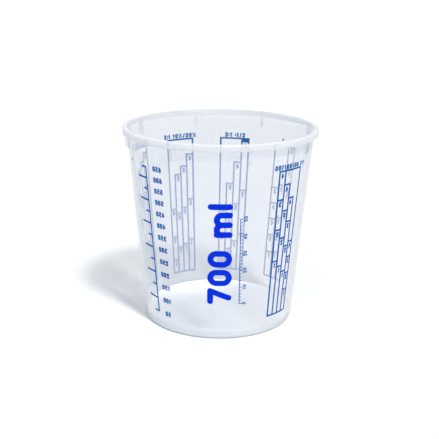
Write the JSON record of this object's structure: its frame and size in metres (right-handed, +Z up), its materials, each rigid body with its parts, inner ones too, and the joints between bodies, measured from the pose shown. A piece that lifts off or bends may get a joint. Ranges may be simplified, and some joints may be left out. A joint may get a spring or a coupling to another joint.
{
  "type": "resin mixing cup",
  "caption": "Tapered translucent mixing cup with a rolled rim, ribs under the rim, and printed volume and mixing ratio scales round its wall.",
  "frame": {"origin": "middle of the foot, on the surface that the cup stands on", "axes": "+Z up along the cup's axis, -Y towards the front, which carries the capacity mark, +X to the right seen from the front"},
  "size_m": [0.1116, 0.1116, 0.1135],
  "materials": {
    "cup_plastic": "translucent natural polypropylene, smooth, low gloss",
    "print_ink": "dark blue screen printing ink, opaque"
  },
  "bodies": {
    "root": {"cup_body": "cup_plastic", "ml_scale_lines": "print_ink", "ml_scale_numerals": "print_ink", "scale_four_to_one_lines": "print_ink", "scale_four_to_one_labels": "print_ink", "scale_four_to_one_heading": "print_ink", "scale_two_to_one_lines": "print_ink", "scale_two_to_one_labels": "print_ink", "scale_two_to_one_heading": "print_ink", "scale_three_to_one_lines": "print_ink", "scale_three_to_one_labels": "print_ink", "scale_three_to_one_heading": "print_ink", "scale_twenty_to_one_lines": "print_ink", "scale_twenty_to_one_labels": "print_ink", "scale_one_to_one_lines": "print_ink", "scale_one_to_one_labels": "print_ink", "scale_one_to_one_heading": "print_ink", "capacity_mark": "print_ink", "height_rule_lines": "print_ink", "height_rule_numerals": "print_ink", "print_dots": "print_ink"}
  },
  "joints": []
}
